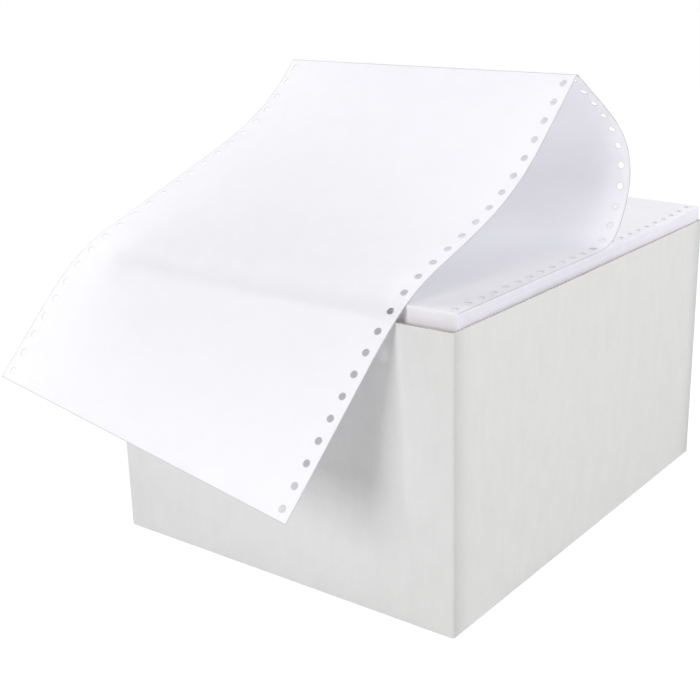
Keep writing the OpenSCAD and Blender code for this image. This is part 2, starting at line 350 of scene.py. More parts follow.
def least_height(arcs):
    """The hanging leaf's least height over the stack's front edge and the carton's rim."""
    p = paper()
    depth = outer_size()[1]
    edges = [(0.0, 0.0), (-strip_origin()[1] - depth / 2, -carton().stack_proud)]
    steps = np.maximum(np.arange(p.holes_per_leaf + 1), FIRST_STEP)
    heights = []
    for x in (-half_w(), 0.0, half_w()):
        flat = np.column_stack([np.full(len(steps), x), leaf_l() + steps * p.hole_pitch])
        line = bent(flat, -p.hang_t, arcs)
        for place, level in edges:
            crossed = np.where((line[:-1, 1] >= place) & (line[1:, 1] < place))[0]
            if len(crossed):
                i = crossed[0]
                part = (line[i, 1] - place) / (line[i, 1] - line[i + 1, 1])
                heights.append(line[i, 2] + part * (line[i + 1, 2] - line[i, 2]) - level)
    return min(heights)


def settled_arcs():
    """The raised fold closes until the hanging leaf passes both edges at its clearance."""
    low, high = map(math.radians, FOLD_RANGE)
    for _ in range(HALVINGS):
        middle = (low + high) / 2
        if least_height(strip_arcs(middle)) > paper().edge_clear:
            low = middle
        else:
            high = middle
    return strip_arcs((low + high) / 2)


# ---- Modelling helpers ----

def deselect():
    """Leaves edit mode and deselects every object."""
    if bpy.context.object and bpy.context.object.mode != "OBJECT":
        bpy.ops.object.mode_set(mode="OBJECT")
    bpy.ops.object.select_all(action="DESELECT")


def named(name):
    """Names the object that an operator has just made."""
    piece = bpy.context.object
    piece.name = name
    piece.data.name = name
    return piece


def choose(*pieces):
    """Selects only these objects; the first becomes the active one."""
    deselect()
    for piece in pieces:
        piece.select_set(True)
    bpy.context.view_layer.objects.active = pieces[0]


def open_mesh(piece, mode="VERT"):
    """Enters edit mode on one object with nothing selected."""
    choose(piece)
    bpy.ops.object.mode_set(mode="EDIT")
    bpy.ops.mesh.select_mode(type=mode)
    bpy.ops.mesh.select_all(action="DESELECT")


def choose_all():
    """In edit mode, selects the whole mesh."""
    bpy.ops.mesh.select_all(action="SELECT")


def close_mesh():
    """Leaves edit mode."""
    bpy.ops.object.mode_set(mode="OBJECT")


def pick(piece, kind, test):
    """In edit mode, selects only the verts, edges or faces that pass a test."""
    mesh = bmesh.from_edit_mesh(piece.data)
    for part in getattr(mesh, kind):
        part.select_set(False)
    for part in getattr(mesh, kind):
        if test(part):
            part.select_set(True)
    mesh.select_flush_mode()
    bmesh.update_edit_mesh(piece.data)


def fixed_place():
    """Writes the active object's place, turn and scale into its mesh."""
    bpy.ops.object.transform_apply(location=True, rotation=True, scale=True)


def apply_all(piece):
    """Applies a piece's modifiers in order."""
    choose(piece)
    for modifier in list(piece.modifiers):
        bpy.ops.object.modifier_apply(modifier=modifier.name)


def corners(piece):
    """The coordinates of a mesh as an array of rows."""
    co = np.empty(len(piece.data.vertices) * 3)
    piece.data.vertices.foreach_get("co", co)
    return co.reshape(-1, 3)


def set_corners(piece, co):
    """Moves the points of a mesh to an array of rows."""
    piece.data.vertices.foreach_set("co", np.asarray(co, np.float32).ravel())
    piece.data.update()


def joined(*pieces):
    """Joins pieces into the first one."""
    choose(*pieces)
    bpy.ops.object.join()
    return bpy.context.object


def repeated(piece, count, step):
    """Copies a piece along a step, all in one mesh."""
    rows = piece.modifiers.new("repeat", "ARRAY")
    rows.count = count
    rows.use_relative_offset = False
    rows.use_constant_offset = True
    rows.constant_offset_displace = step
    apply_all(piece)


def cut_across(spot, way):
    """In edit mode, cuts the whole mesh by a plane."""
    choose_all()
    bpy.ops.mesh.bisect(plane_co=spot, plane_no=way)


def outward(piece):
    """Makes a piece's faces point one way, outwards where it is closed."""
    open_mesh(piece)
    choose_all()
    bpy.ops.mesh.normals_make_consistent(inside=False)
    close_mesh()


def block(name, low, high):
    """A closed box between two corners, as the start of a piece."""
    deselect()
    low, high = Vector(low), Vector(high)
    bpy.ops.mesh.primitive_cube_add(size=1, location=(low + high) / 2)
    piece = named(name)
    bpy.ops.transform.resize(value=high - low)
    fixed_place()
    return piece


def thicken(piece, depth, side):
    """Gives a sheet its thickness. side -1 keeps the outer face in place, 1 the inner one."""
    wall = piece.modifiers.new("thickness", "SOLIDIFY")
    wall.thickness = depth
    wall.offset = side
    wall.use_even_offset = True
    apply_all(piece)


def smooth(piece, degrees=SHARP):
    """Shades a piece smooth, except across edges sharper than an angle."""
    choose(piece)
    bpy.ops.object.shade_smooth_by_angle(angle=math.radians(degrees))


def paint(piece, index, test):
    """Gives the faces that pass a test one of the piece's materials."""
    for face in piece.data.polygons:
        if test(face):
            face.material_index = index


def finished(piece, materials, replaced):
    """Gives a piece its materials and ties it to the frame."""
    for material in materials:
        if material.name not in piece.data.materials:
            piece.data.materials.append(material)
    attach(piece, "root")
    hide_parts(replaced)


# ---- Materials ----

def new_material(name, base, roughness, specular, sheen=0.0):
    """A node material with one shader, whose constant values are set here."""
    material = bpy.data.materials.new(name)
    material.use_nodes = True
    tree = material.node_tree
    shader = tree.nodes["Principled BSDF"]
    shader.inputs["Base Color"].default_value = (*base, 1)
    shader.inputs["Roughness"].default_value = roughness
    shader.inputs["Specular IOR Level"].default_value = specular
    shader.inputs["Sheen Weight"].default_value = sheen
    return material, tree, shader


def shade_of(base, factor):
    return tuple(min(1.0, v * factor) for v in base)


def reckon(tree, operation, *values):
    """One step of arithmetic on sockets and numbers."""
    step = tree.nodes.new("ShaderNodeMath")
    step.operation = operation
    for i, value in enumerate(values):
        if isinstance(value, (int, float)):
            step.inputs[i].default_value = value
        else:
            tree.links.new(value, step.inputs[i])
    return step.outputs[0]


def add_noise(tree, size, detail, roughness, stretch=(1, 1, 1)):
    """Noise on Object coordinates whose grains are about size metres across."""
    place = tree.nodes.new("ShaderNodeTexCoord")
    mapping = tree.nodes.new("ShaderNodeMapping")
    mapping.inputs["Scale"].default_value = stretch
    noise = tree.nodes.new("ShaderNodeTexNoise")
    noise.inputs["Scale"].default_value = 1 / size
    noise.inputs["Detail"].default_value = detail
    noise.inputs["Roughness"].default_value = roughness
    tree.links.new(place.outputs["Object"], mapping.inputs["Vector"])
    tree.links.new(mapping.outputs["Vector"], noise.inputs["Vector"])
    return noise.outputs["Fac"]


def add_ramp(tree, factor, first, second=(1, 1, 1), spread=(0, 1)):
    """Turns a factor into a colour between two shades, which it reaches at the two ends of the spread."""
    ramp = tree.nodes.new("ShaderNodeValToRGB")
    for stop, position, shade in zip(ramp.color_ramp.elements, spread, (first, second)):
        stop.position = position
        stop.color = (*shade, 1)
    tree.links.new(factor, ramp.inputs["Fac"])
    return ramp.outputs["Color"]


def multiply(tree, first, second, amount=1.0):
    """Multiplies a colour, given as a socket or as numbers, with another by a set amount."""
    mix = tree.nodes.new("ShaderNodeMix")
    mix.data_type = "RGBA"
    mix.blend_type = "MULTIPLY"
    mix.inputs["Factor"].default_value = amount
    if isinstance(first, tuple):
        mix.inputs["A"].default_value = (*first, 1)
    else:
        tree.links.new(first, mix.inputs["A"])
    tree.links.new(second, mix.inputs["B"])
    return mix.outputs["Result"]


def mixed_shader(tree, first, second, factor, output):
    """Ends a material or a world in a mix of two shaders."""
    mix = tree.nodes.new("ShaderNodeMixShader")
    if isinstance(factor, float):
        mix.inputs["Fac"].default_value = factor
    else:
        tree.links.new(factor, mix.inputs["Fac"])
    tree.links.new(first, mix.inputs[1])
    tree.links.new(second, mix.inputs[2])
    tree.links.new(mix.outputs["Shader"], tree.nodes[output].inputs["Surface"])


def add_bump(tree, shader, height, depth, strength, under=None):
    """Raises a surface by a noise, over an earlier bump if there is one."""
    bump = tree.nodes.new("ShaderNodeBump")
    bump.inputs["Strength"].default_value = strength
    bump.inputs["Distance"].default_value = depth
    tree.links.new(height, bump.inputs["Height"])
    if under is not None:
        tree.links.new(under, bump.inputs["Normal"])
    tree.links.new(bump.outputs["Normal"], shader.inputs["Normal"])
    return bump.outputs["Normal"]


def split_axes(tree, vector):
    """The three axes of a vector socket, by name."""
    axes = tree.nodes.new("ShaderNodeSeparateXYZ")
    tree.links.new(vector, axes.inputs["Vector"])
    return axes.outputs


def add_worn_and_shaded_edges(tree, shade):
    """The faint grey line along a leaf's edges and raised fold, and a narrower one round its holes: partly
    wear, partly painted shade of the edges, of the fold's crease and of the holes' walls.
    """
    p = paper()
    place = tree.nodes.new("ShaderNodeAttribute")
    place.attribute_name = "strip_place"
    axes = split_axes(tree, place.outputs["Vector"])
    along = axes["Y"]
    aside = reckon(tree, "ABSOLUTE", axes["X"])
    side = reckon(tree, "SUBTRACT", half_w(), aside)
    end = reckon(tree, "SUBTRACT", 2 * leaf_l(), along)
    fold = reckon(tree, "ABSOLUTE", reckon(tree, "SUBTRACT", along, leaf_l()))
    hole_x = reckon(tree, "SUBTRACT", aside, half_w() - p.hole_inset)
    hole_y = reckon(tree, "SUBTRACT", p.hole_pitch / 2, reckon(tree, "PINGPONG", along, p.hole_pitch / 2))
    squares = reckon(tree, "ADD", reckon(tree, "MULTIPLY", hole_x, hole_x),
                     reckon(tree, "MULTIPLY", hole_y, hole_y))
    hole = reckon(tree, "SUBTRACT", reckon(tree, "SQRT", squares), p.hole_d / 2)
    rim = reckon(tree, "MULTIPLY", hole, HOLE_WEAR_SHADE)
    nearest = reckon(tree, "MINIMUM", reckon(tree, "MINIMUM", side, end), reckon(tree, "MINIMUM", rim, fold))
    closeness = reckon(tree, "SUBTRACT", 1.0, reckon(tree, "DIVIDE", nearest, WEAR_SHADE_W))
    return add_ramp(tree, closeness, (1, 1, 1), (shade, shade, shade * WEAR_SHADE_BLUE))


def let_light_through(tree, shader, tint, amount, wear_and_shade):
    """Lets a part of the light through the sheet, spread evenly, and less of it along the grey line of wear
    and painted shade at its edges.
    """
    through = tree.nodes.new("ShaderNodeBsdfTranslucent")
    tree.links.new(multiply(tree, tint, wear_and_shade), through.inputs["Color"])
    mixed_shader(tree, shader.outputs["BSDF"], through.outputs["BSDF"], amount, "Material Output")


def paper_finish(name="uncoated paper", edge=None, through=0.0):
    """White uncoated paper with fine fibres, faint clouds and a very soft sheen. edge is the colour of a face
    that is made of leaves' edges, and through is the part of the light that a single leaf lets pass."""
    if name in bpy.data.materials:
        return bpy.data.materials[name]
    looks = bpy.context.scene.form_finishes
    # the stack's paper is a bluer, slightly brighter copy of the leaves' paper: painted bluish shade and
    # painted light
    base = tuple(edge or (looks.paper if through else looks.paper_stack_painted_tint))
    material, tree, shader = new_material(name, base, roughness=0.82, specular=0.22, sheen=0.06)
    clouds = add_ramp(tree, add_noise(tree, size=12 * MM, detail=5, roughness=0.6),
                      shade_of(base, 0.985), shade_of(base, 1.01), spread=(0.35, 0.65))
    fibres = add_ramp(tree, add_noise(tree, size=0.5 * MM, detail=3, roughness=0.7, stretch=(1, 0.45, 1)),
                      (0.94, 0.94, 0.945), spread=(0.3, 0.62))
    look = multiply(tree, clouds, fibres, 0.45)
    if through:
        # grey line along the edges, the fold and the holes: partly wear, partly painted shade
        wear_and_shade = add_worn_and_shaded_edges(tree, looks.edge_wear_shade)
        let_light_through(tree, shader, tuple(looks.paper_through), through, wear_and_shade)
        look = multiply(tree, look, wear_and_shade)
    if edge:
        lines = add_noise(tree, size=4 * MM, detail=3, roughness=0.6, stretch=(0.04, 0.04, 14))
        add_bump(tree, shader, lines, depth=0.12 * MM, strength=0.3)
        # painted shade: faint darker lines across the stack's edge faces stand for the shade in the gaps
        # between the leaves
        gap_shade = add_noise(tree, size=6 * MM, detail=4, roughness=0.7, stretch=(0.03, 0.03, 5))
        look = multiply(tree, look, add_ramp(tree, gap_shade, (0.93, 0.93, 0.94), spread=(0.35, 0.6)), 0.7)
    else:
        felt = add_noise(tree, size=0.9 * MM, detail=4, roughness=0.65)
        waves = add_noise(tree, size=30 * MM, detail=2, roughness=0.5)
        under = add_bump(tree, shader, felt, depth=0.04 * MM, strength=0.35)
        add_bump(tree, shader, waves, depth=0.4 * MM, strength=0.12, under=under)
    tree.links.new(look, shader.inputs["Base Color"])
    return material


def add_creases(tree, shade):
    """The shade beside the upright creases: it fades over the side walls, and faster over front and rear."""
    width, depth = outer_size()
    place = tree.nodes.new("ShaderNodeTexCoord")
    axes = split_axes(tree, place.outputs["Object"])
    near = []
    for axis, half, fade in (("X", width / 2, CREASE_FRONT), ("Y", depth / 2, CREASE_SIDE)):
        closeness = tree.nodes.new("ShaderNodeMapRange")
        closeness.inputs["From Min"].default_value = half - fade
        closeness.inputs["From Max"].default_value = half
        tree.links.new(reckon(tree, "ABSOLUTE", axes[axis]), closeness.inputs["Value"])
        near.append(closeness.outputs["Result"])
    deeper = reckon(tree, "POWER", reckon(tree, "MULTIPLY", *near), CREASE_POWER)
    return add_ramp(tree, deeper, (1, 1, 1), (shade, shade, shade))


def liner_finish():
    """The board's white outer paper: mottled, with upright fibre streaks over the flutes."""
    name = "white liner"
    if name in bpy.data.materials:
        return bpy.data.materials[name]
    looks = bpy.context.scene.form_finishes
    base = tuple(looks.liner)
    material, tree, shader = new_material(name, base, roughness=0.78, specular=0.25)
    blotches = add_ramp(tree, add_noise(tree, size=10 * MM, detail=6, roughness=0.62, stretch=(1, 1, 0.55)),
                        shade_of(base, 0.985), shade_of(base, 1.015), spread=(0.36, 0.64))
    streaks = add_noise(tree, size=3.5 * MM, detail=4, roughness=0.6, stretch=(1, 1, 0.07))
    fibres = add_noise(tree, size=0.7 * MM, detail=3, roughness=0.7, stretch=(1, 1, 0.35))
    streak_shade = add_ramp(tree, streaks, (0.982, 0.982, 0.982), spread=(0.32, 0.6))
    fibre_shade = add_ramp(tree, fibres, (0.96, 0.96, 0.96), spread=(0.3, 0.6))
    look = multiply(tree, multiply(tree, blotches, streak_shade, 0.55), fibre_shade, 0.5)
    look = multiply(tree, look, add_creases(tree, looks.crease))
    tree.links.new(look, shader.inputs["Base Color"])
    under = add_bump(tree, shader, streaks, depth=0.12 * MM, strength=0.35)
    add_bump(tree, shader, fibres, depth=0.06 * MM, strength=0.4, under=under)
    return material


def brown_finish(name, base):
    """Unbleached board paper with darker and lighter fibres."""
    if name in bpy.data.materials:
        return bpy.data.materials[name]
    material, tree, shader = new_material(name, base, roughness=0.85, specular=0.2)
    blotches = add_ramp(tree, add_noise(tree, size=6 * MM, detail=5, roughness=0.65),
                        shade_of(base, 0.86), shade_of(base, 1.1), spread=(0.35, 0.65))
    fibres = add_noise(tree, size=0.8 * MM, detail=4, roughness=0.7, stretch=(1, 1, 0.3))
    fibre_shade = add_ramp(tree, fibres, (0.8, 0.78, 0.75), spread=(0.32, 0.6))
    tree.links.new(multiply(tree, blotches, fibre_shade, 0.6), shader.inputs["Base Color"])
    add_bump(tree, shader, fibres, depth=0.08 * MM, strength=0.5)
    return material


def board_finishes():
    """The board's white outside, its brown inside and its cut edges."""
    looks = bpy.context.scene.form_finishes
    return (liner_finish(), brown_finish("brown liner", tuple(looks.kraft)),
            brown_finish("board edge", tuple(looks.cut)))


# ---- Paper pieces ----

def punched_sheet(name, holes, columns):
    """A flat sheet with a row of feed holes down each side, in the strip's own frame. columns is the number
    of faces across between the two rows."""
    p = paper()
    deselect()
    bpy.ops.mesh.primitive_grid_add(x_subdivisions=CELL_STEPS, y_subdivisions=CELL_STEPS, size=1)
    cell = named(name)
    bpy.ops.transform.resize(value=(2 * p.hole_inset, p.hole_pitch, 1))
    fixed_place()
    open_mesh(cell)
    edge_x, edge_y = p.hole_inset - TOUCH, p.hole_pitch / 2 - TOUCH
    pick(cell, "verts", lambda v: abs(v.co.x) < edge_x and abs(v.co.y) < edge_y)
    bpy.ops.mesh.delete(type="VERT")
    bpy.ops.mesh.primitive_circle_add(vertices=HOLE_SIDES, radius=p.hole_d / 2)
    choose_all()
    bpy.ops.mesh.bridge_edge_loops(number_cuts=1, interpolation="LINEAR")
    close_mesh()
    repeated(cell, holes, (0, p.hole_pitch, 0))
    repeated(cell, 2, (2 * (half_w() - p.hole_inset), 0, 0))
    set_corners(cell, corners(cell) + np.array([p.hole_inset - half_w(), p.hole_pitch / 2, 0]))
    deselect()
    bpy.ops.mesh.primitive_grid_add(x_subdivisions=columns, y_subdivisions=holes * CELL_STEPS, size=1,
                                    location=(0, holes * p.hole_pitch / 2, 0))
    middle = named(name + "_middle")
    bpy.ops.transform.resize(value=(p.form_w - 4 * p.hole_inset, holes * p.hole_pitch, 1))
    fixed_place()
    sheet = joined(cell, middle)
    open_mesh(sheet)
    choose_all()
    bpy.ops.mesh.remove_doubles(threshold=MERGE)
    close_mesh()
    outward(sheet)
    if sheet.data.polygons[0].normal.z < 0:
        open_mesh(sheet)
        choose_all()
        bpy.ops.mesh.flip_normals()
        close_mesh()
    return sheet


class FORMPAPER_OT_raised_leaves(Operator):
    """Makes the two raised leaves: one punched sheet that curls up to a fold and hangs over the front"""
    bl_idname = "formpaper.raised_leaves"
    bl_label = "Raised leaves"

    def execute(self, context):
        p = paper()
        leaves = punched_sheet("raised_leaves", 2 * p.holes_per_leaf, columns=36)
        open_mesh(leaves)
        for part in (-0.5, -0.25, 0.25, 0.5):
            cut_across((0, leaf_l() + part * p.fold_l, 0), (0, 1, 0))
        close_mesh()
        co = corners(leaves)
        place = leaves.data.attributes.new("strip_place", "FLOAT_VECTOR", "POINT")
        place.data.foreach_set("vector", co.astype(np.float32).ravel())
        set_corners(leaves, bent(co[:, :2], 0.0, settled_arcs()) + strip_origin())
        thicken(leaves, p.leaf_t, -1)
        smooth(leaves)
        finished(leaves, [paper_finish("thin paper", through=THROUGH)], "form_web")
        return {"FINISHED"}


class FORMPAPER_OT_top_leaf(Operator):
    """Makes the uppermost leaf of the stack, on which the second leaf lies and from which it lifts"""
    bl_idname = "formpaper.top_leaf"
    bl_label = "Top leaf of the stack"

    def execute(self, context):
        p = paper()
        leaf = punched_sheet("top_leaf", p.holes_per_leaf, columns=12)
        set_corners(leaf, puffed(corners(leaf) + strip_origin() - np.array([0, 0, p.leaf_t + LEAF_AIR])))
        thicken(leaf, p.leaf_t, -1)
        smooth(leaf)
        finished(leaf, [paper_finish()], "form_web")
        return {"FINISHED"}


class FORMPAPER_OT_folded_stack(Operator):
    """Makes the folded stack: a punched core, and a band of single folded layers round it"""
    bl_idname = "formpaper.folded_stack"
    bl_label = "Folded stack"

    def execute(self, context):
        p, s = paper(), stack()
        origin = strip_origin()
        top = stack_top() - 2 * (p.leaf_t + LEAF_AIR)
        core = punched_sheet("stack_core", p.holes_per_leaf, columns=4)
        co = corners(core)
        inset = s.rim_w - CORE_LAP
        hole_edge = p.hole_inset - p.hole_d / 2
        for axis, middle, half in ((0, 0, half_w()), (1, leaf_l() / 2, leaf_l() / 2)):
            away = co[:, axis] - middle
            rim = half - np.abs(away)
            pushed = np.where(rim < hole_edge, inset + rim * (hole_edge - inset) / hole_edge, rim)
            co[:, axis] = middle + np.sign(away) * (half - pushed)
        set_corners(core, co + np.array([origin[0], origin[1], top]))
        thicken(core, top - floor_z() - CORE_AIR, -1)
        set_corners(core, puffed(corners(core)))
        smooth(core)
        looks = context.scene.form_finishes
        folded = paper_finish("folded edges", edge=looks.paper_fold)
        # the sides' darker, bluer paper is partly the cut edges' own tone and partly painted shade
        cut = paper_finish("cut edges", edge=looks.paper_cut_shaded)
        finished(core, [folded], "form_web")

        layers = int((top - floor_z()) / s.layer_h)
        pitch = (top - floor_z()) / layers
        upper = int(math.ceil(s.puff_h / pitch))
        for name, first, count, cuts in (("stack_layers", 0, layers - upper, 0),
                                         ("stack_upper_layers", layers - upper, upper, PUFF_CUTS)):
            self.run_of_layers(name, first, count, cuts, pitch, layers, (folded, cut))
        return {"FINISHED"}

    def run_of_layers(self, name, first, count, cuts, pitch, layers, finishes):
        """Makes count of the layers as one piece, from number first upwards, with cuts where the top puffs
        up. finishes holds the paper of the folded edges and that of the cut edges."""
        s = stack()
        origin = strip_origin()
        layer = block(name, (-half_w(), 0, 0), (half_w(), leaf_l(), pitch - s.layer_air))
        open_mesh(layer, "FACE")
        pick(layer, "faces", lambda f: abs(f.normal.z) > LEVEL)
        bpy.ops.mesh.inset(thickness=s.rim_w)
        bpy.ops.mesh.bridge_edge_loops()
        bpy.ops.mesh.select_mode(type="EDGE")
        far = leaf_l() - TOUCH
        pick(layer, "edges", lambda e: abs(e.verts[0].co.x - e.verts[1].co.x) > LONG_EDGE
             and (e.verts[0].co.y < TOUCH or e.verts[0].co.y > far))
        bpy.ops.mesh.bevel(offset=(pitch - s.layer_air) * FOLD_ROUND, segments=2, affect="EDGES")
        for i in range(cuts):
            cut_across((0, leaf_l() - s.puff_l * (i + 0.5) / cuts, 0), (0, 1, 0))
            cut_across((half_w() * (i - cuts // 2) / 3, 0, 0), (1, 0, 0))
        close_mesh()
        repeated(layer, count, (0, 0, pitch))
        co = corners(layer)
        which = first + np.clip(((co[:, 2] + 0.1 * s.layer_air) / pitch).astype(int), 0, count - 1)
        draw = np.random.default_rng(SLIP_SEED)
        bundles = int(round(s.stack_h / s.bundle_h))
        bundle = which * bundles // layers
        group = draw.uniform(-1, 1, (layers // GROUP_LAYERS + 2, 2))[which // GROUP_LAYERS]
        single = draw.uniform(-1, 1, (layers, 2))[which]
        slip = np.column_stack([np.sin(np.radians(bundle * turn)) for turn in SLIP_TURNS])
        co[:, :2] += s.bundle_slip * slip + SLIP_PART * s.layer_slip * (group + single)
        co += np.array([origin[0], origin[1], floor_z() + first * pitch + 0.5 * s.layer_air])
        set_corners(layer, puffed(co))
        outward(layer)
        smooth(layer, 50)
        finished(layer, finishes, "form_web")
        ways = np.empty(len(layer.data.polygons) * 3)
        layer.data.polygons.foreach_get("normal", ways)
        at_sides = np.abs(ways.reshape(-1, 3)[:, 0]) > SIDEWAYS
        layer.data.polygons.foreach_set("material_index", at_sides.astype(np.int32))


# ---- Carton pieces ----

def bow_out(co):
    """Bows the walls out towards the rim, front and rear less, and the right one most near the front."""
    width, depth = outer_size()
    side, end = width / 2 - WALL_ZONE, depth / 2 - WALL_ZONE
    lift = np.clip(co[:, 2] / carton_h(), 0, 1) * carton().bow
    along = np.clip(co[:, 1] / depth + 0.5, 0, 1)
    across = np.clip(co[:, 0] / width + 0.5, 0, 1)
    right = np.sin(np.pi * along ** BOW_FORWARD) ** BOW_EASE
    left = np.sin(np.pi * along) ** BOW_EASE
    ends = BOW_ENDS * np.sin(np.pi * across) ** BOW_EASE
    moved = co.copy()
    moved[:, 0] += lift * (np.where(co[:, 0] > side, right, 0) - np.where(co[:, 0] < -side, left, 0))
    moved[:, 1] += lift * ends * (np.where(co[:, 1] > end, 1, 0) - np.where(co[:, 1] < -end, 1, 0))
    return moved


def liner_ring(name, width, depth, radius, low, high, side):
    """One of the two flat papers of the walls, all round the carton."""
    ring = block(name, (-width / 2, -depth / 2, low), (width / 2, depth / 2, high))
    open_mesh(ring, "EDGE")
    pick(ring, "edges", lambda e: abs(e.verts[0].co.z - e.verts[1].co.z) > CORNER_EDGE)
    bpy.ops.mesh.bevel(offset=radius, segments=CORNER_STEPS, affect="EDGES")
    bpy.ops.mesh.select_mode(type="FACE")
    pick(ring, "faces", lambda f: abs(f.normal.z) > LEVEL)
    bpy.ops.mesh.delete(type="FACE")
    for axis, reach in ((0, width / 2 - radius - CUT_CLEAR), (1, depth / 2 - radius - CUT_CLEAR)):
        for place in np.linspace(-reach, reach, WALL_CUTS):
            spot, way = [0, 0, 0], [0, 0, 0]
            spot[axis], way[axis] = place, 1
            cut_across(spot, way)
    close_mesh()
    thicken(ring, carton().liner_t, side)
    set_corners(ring, bow_out(corners(ring)))
    return ring


def rounded_path(width, depth, radius, count):
    """Even points round an upright rounded rectangle, with their outward directions."""
    straight_x, straight_y = width - 2 * radius, depth - 2 * radius
    quarter = math.pi / 2 * radius
    around = 2 * (straight_x + straight_y) + 4 * quarter
    points, ways = [], []
    for i in range(count):
        s = around * i / count
        for run, middle, turn in ((straight_y, (width / 2, 0), 0), (straight_x, (0, depth / 2), 90),
                                  (straight_y, (-width / 2, 0), 180), (straight_x, (0, -depth / 2), 270)):
            a = math.radians(turn)
            out, on = Vector((math.cos(a), math.sin(a))), Vector((-math.sin(a), math.cos(a)))
            if s <= run:
                points.append(Vector(middle) + on * (s - run / 2))
                ways.append(out)
                break
            s -= run
            if s <= quarter:
                b = a + s / radius
                way = Vector((math.cos(b), math.sin(b)))
                points.append(Vector(middle) + on * run / 2 - out * radius + way * radius)
                ways.append(way)
                break
            s -= quarter
    return points, ways


def flute_swing():
    """How far the wavy paper swings to either side of the board's middle."""
    c = carton()
    return (c.board_t - 2 * c.liner_t - c.flute_t) / 2 * FLUTE_FILL


def round_order(co):
    """The order of points round the upright axis."""
    return np.argsort(-np.arctan2(co[:, 1], co[:, 0]))


class FORMPAPER_OT_carton_walls(Operator):
    """Makes the four walls: a white outer paper, a brown inner paper and the wavy paper between them"""
    bl_idname = "formpaper.carton_walls"
    bl_label = "Carton walls"

    def execute(self, context):
        c = carton()
        white, brown, cut = board_finishes()
        width, depth = outer_size()
        rim, foot = carton_h(), c.board_t

        outer = liner_ring("carton_outer_liner", width, depth, c.corner_r, OUTER_LIFT, rim, -1)
        smooth(outer)
        finished(outer, [white, cut, brown], "carton")
        near = c.liner_t * INNER_SIDE
        paint(outer, 1, lambda f: f.normal.z > LEVEL)
        paint(outer, 2, lambda f: abs(f.normal.z) < UPRIGHT and abs(f.center.x) < width / 2 - near
              and abs(f.center.y) < depth / 2 - near and f.normal.to_2d().dot(f.center.to_2d()) < 0)

        inner = liner_ring("carton_inner_liner", *inner_size(), c.inner_r, foot, rim, 1)
        smooth(inner)
        finished(inner, [brown, cut], "carton")
        paint(inner, 1, lambda f: f.normal.z > LEVEL)

        middle_w, middle_l = width - c.board_t, depth - c.board_t
        count = round(2 * (middle_w + middle_l) / c.flute_pitch) * FLUTE_STEPS
        points, ways = rounded_path(middle_w, middle_l, c.corner_r / 2, count)
        deselect()
        bpy.ops.mesh.primitive_circle_add(vertices=count, radius=0.1)
        flutes = named("carton_flutes")
        co = np.array([[*(point + way * flute_swing() * math.sin(2 * math.pi * i / FLUTE_STEPS)), foot]
                       for i, (point, way) in enumerate(zip(points, ways))])
        placed = np.empty_like(co)
        placed[round_order(corners(flutes))] = co[round_order(co)]
        set_corners(flutes, placed)
        open_mesh(flutes)
        choose_all()
        bpy.ops.mesh.extrude_region_move(TRANSFORM_OT_translate={"value": (0, 0, rim - foot - FLUTE_SHORT)})
        close_mesh()
        outward(flutes)
        thicken(flutes, c.flute_t, 0)
        set_corners(flutes, bow_out(corners(flutes)))
        smooth(flutes, 60)
        finished(flutes, [cut], "carton")
        return {"FINISHED"}


def board_panel(name, low, high, across, thin):
    """A flat piece of board: two papers, and a wavy one whose waves follow the axis across, in a board that
    is thin along the axis thin."""
    c = carton()
    low, high = np.array(low, float), np.array(high, float)
    parts = []
    for index, start in enumerate((low[thin], high[thin] - c.liner_t)):
        a, b = low.copy(), high.copy()
        a[thin], b[thin] = start, start + c.liner_t
        parts.append(block("%s_liner%d" % (name, index), a, b))
    waves = int(round((high[across] - low[across]) / c.flute_pitch))
    deselect()
    bpy.ops.mesh.primitive_grid_add(x_subdivisions=waves * FLUTE_STEPS, y_subdivisions=1, size=1)
    wave = named(name + "_wave")
    flat = corners(wave) + np.array([0.5, 0.5, 0])
    co = np.zeros_like(flat)
    for axis, part in ((across, flat[:, 0]), (3 - thin - across, flat[:, 1])):
        co[:, axis] = low[axis] + FLUTE_SHORT + part * (high[axis] - low[axis] - 2 * FLUTE_SHORT)
    co[:, thin] = (low[thin] + high[thin]) / 2 + flute_swing() * np.sin(2 * np.pi * flat[:, 0] * waves)
    set_corners(wave, co)
    thicken(wave, c.flute_t, 0)
    return parts, wave


